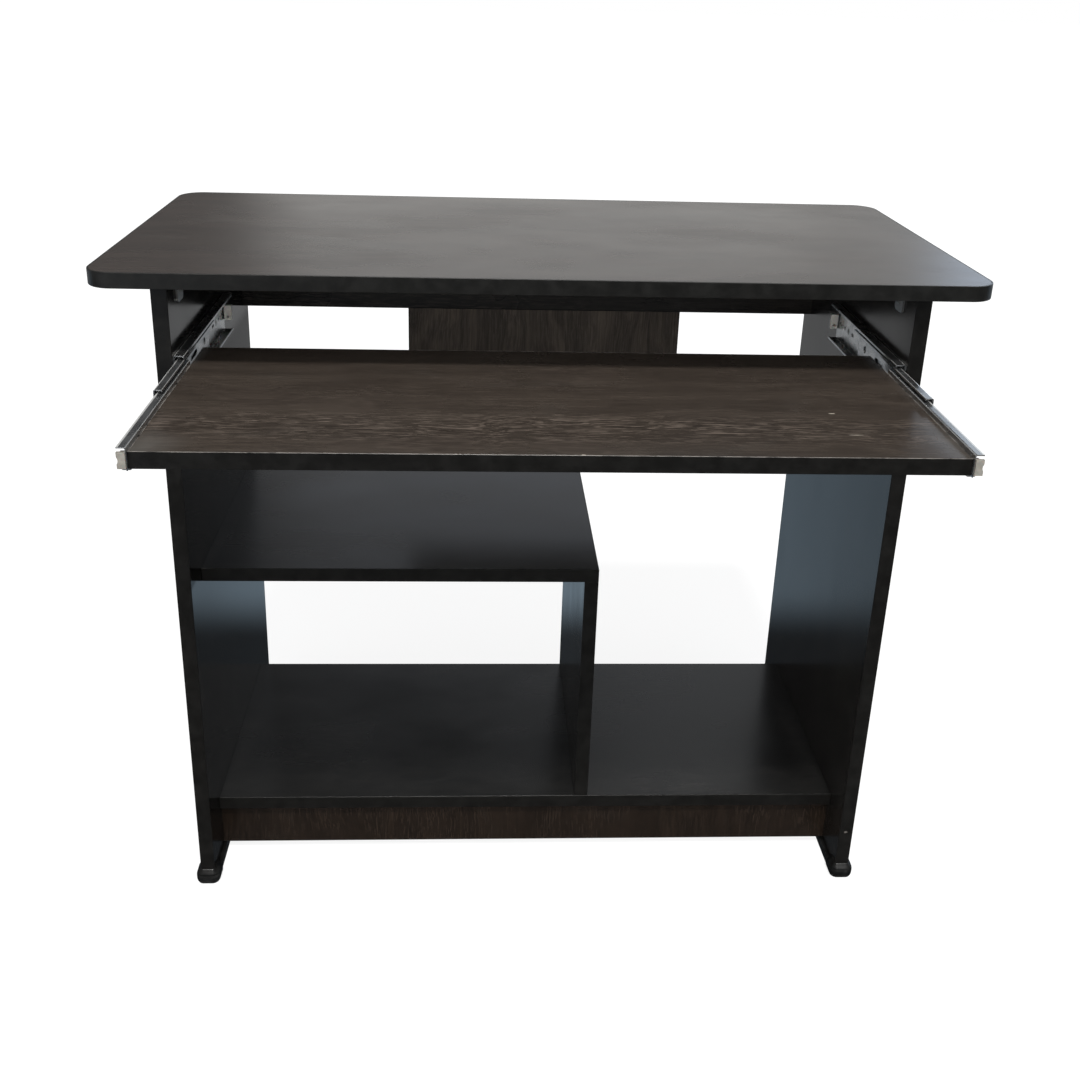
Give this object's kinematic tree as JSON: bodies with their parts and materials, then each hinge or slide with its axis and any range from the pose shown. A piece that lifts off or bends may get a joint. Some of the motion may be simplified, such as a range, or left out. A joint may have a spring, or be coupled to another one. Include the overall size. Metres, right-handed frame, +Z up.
{
  "type": "computer desk",
  "caption": "Dark wenge computer desk with a pull-out keyboard tray on ball-bearing slides, a half-width middle shelf, a tower bay and an open back.",
  "frame": {"origin": "on the floor, under the middle of the desk's own box with the tray pulled out as at rest", "axes": "+X to the right, +Y to the back, +Z up, seen by the person who sits at the desk"},
  "size_m": [0.9, 0.613, 0.75],
  "materials": {
    "wenge_laminate": "wenge-pattern laminate, semi-gloss",
    "black_edge_band": "brown-black edge band",
    "zinc_steel": "bright zinc plate",
    "zinc_screws": "zinc-plated screws",
    "cage_steel": "thin zinc-plated strip",
    "bearing_steel": "polished balls",
    "black_plastic": "moulded black plastic",
    "beige_plastic": "cloudy beige plastic",
    "beech_wood": "plain beech"
  },
  "bodies": {
    "carcass": {"desktop": "wenge_laminate", "left_side_panel": "wenge_laminate", "right_side_panel": "wenge_laminate", "back_rail": "wenge_laminate", "centre_back_panel": "wenge_laminate", "bottom_shelf": "wenge_laminate", "front_plinth": "wenge_laminate", "middle_shelf": "wenge_laminate", "divider_panel": "wenge_laminate", "desktop_edge_band": "black_edge_band", "left_panel_edge_bands": "black_edge_band", "right_panel_edge_bands": "black_edge_band", "back_rail_edge_band": "black_edge_band", "centre_panel_edge_bands": "black_edge_band", "bottom_shelf_edge_band": "black_edge_band", "plinth_edge_band": "black_edge_band", "middle_shelf_edge_bands": "black_edge_band", "divider_edge_band": "black_edge_band", "left_slide_outer": "zinc_steel", "right_slide_outer": "zinc_steel", "shelf_brackets": "zinc_screws", "corner_brackets": "zinc_screws", "corner_bracket_screws": "zinc_screws", "shelf_bracket_screws": "zinc_screws", "confirmat_screws": "zinc_screws", "back_panel_screws": "zinc_screws", "shoe_screws": "zinc_screws", "slide_to_panel_screws": "zinc_screws", "screw_covers": "black_plastic", "front_left_shoe": "black_plastic", "front_right_shoe": "black_plastic", "rear_left_shoe": "black_plastic", "rear_right_shoe": "black_plastic", "left_slide_bumper": "beige_plastic", "right_slide_bumper": "beige_plastic", "wooden_dowels": "beech_wood"},
    "tray": {"keyboard_tray": "wenge_laminate", "tray_edge_band": "black_edge_band", "left_slide_inner": "zinc_steel", "right_slide_inner": "zinc_steel", "left_slide_cap": "beige_plastic", "right_slide_cap": "beige_plastic", "slide_to_tray_screws": "zinc_screws"},
    "left_middle": {"left_slide_middle": "zinc_steel"},
    "right_middle": {"right_slide_middle": "zinc_steel"},
    "left_outer_cage": {"left_outer_cage": "cage_steel", "left_outer_balls": "bearing_steel"},
    "right_outer_cage": {"right_outer_cage": "cage_steel", "right_outer_balls": "bearing_steel"},
    "left_inner_cage": {"left_inner_cage": "cage_steel", "left_inner_balls": "bearing_steel"},
    "right_inner_cage": {"right_inner_cage": "cage_steel", "right_inner_balls": "bearing_steel"}
  },
  "joints": [
    {"name": "tray_slide", "type": "slide", "parent": "carcass", "child": "tray", "axis": [0, 1, 0], "range_m": [-0.021, 0.214]},
    {"name": "left_middle_slide", "type": "slide", "parent": "carcass", "child": "left_middle", "axis": [0, 1, 0], "range_m": [-0.0086, 0.087]},
    {"name": "left_outer_cage_roll", "type": "slide", "parent": "carcass", "child": "left_outer_cage", "axis": [0, 1, 0], "range_m": [-0.0043, 0.0435]},
    {"name": "left_inner_cage_roll", "type": "slide", "parent": "carcass", "child": "left_inner_cage", "axis": [0, 1, 0], "range_m": [-0.0148, 0.1505]},
    {"name": "right_middle_slide", "type": "slide", "parent": "carcass", "child": "right_middle", "axis": [0, 1, 0], "range_m": [-0.0086, 0.087]},
    {"name": "right_outer_cage_roll", "type": "slide", "parent": "carcass", "child": "right_outer_cage", "axis": [0, 1, 0], "range_m": [-0.0043, 0.0435]},
    {"name": "right_inner_cage_roll", "type": "slide", "parent": "carcass", "child": "right_inner_cage", "axis": [0, 1, 0], "range_m": [-0.0148, 0.1505]}
  ],
  "couplings": [
    {"joint": "left_middle_slide", "follows": "tray_slide", "ratio": 0.4065},
    {"joint": "left_outer_cage_roll", "follows": "tray_slide", "ratio": 0.20325},
    {"joint": "left_inner_cage_roll", "follows": "tray_slide", "ratio": 0.70325},
    {"joint": "right_middle_slide", "follows": "tray_slide", "ratio": 0.4065},
    {"joint": "right_outer_cage_roll", "follows": "tray_slide", "ratio": 0.20325},
    {"joint": "right_inner_cage_roll", "follows": "tray_slide", "ratio": 0.70325}
  ]
}
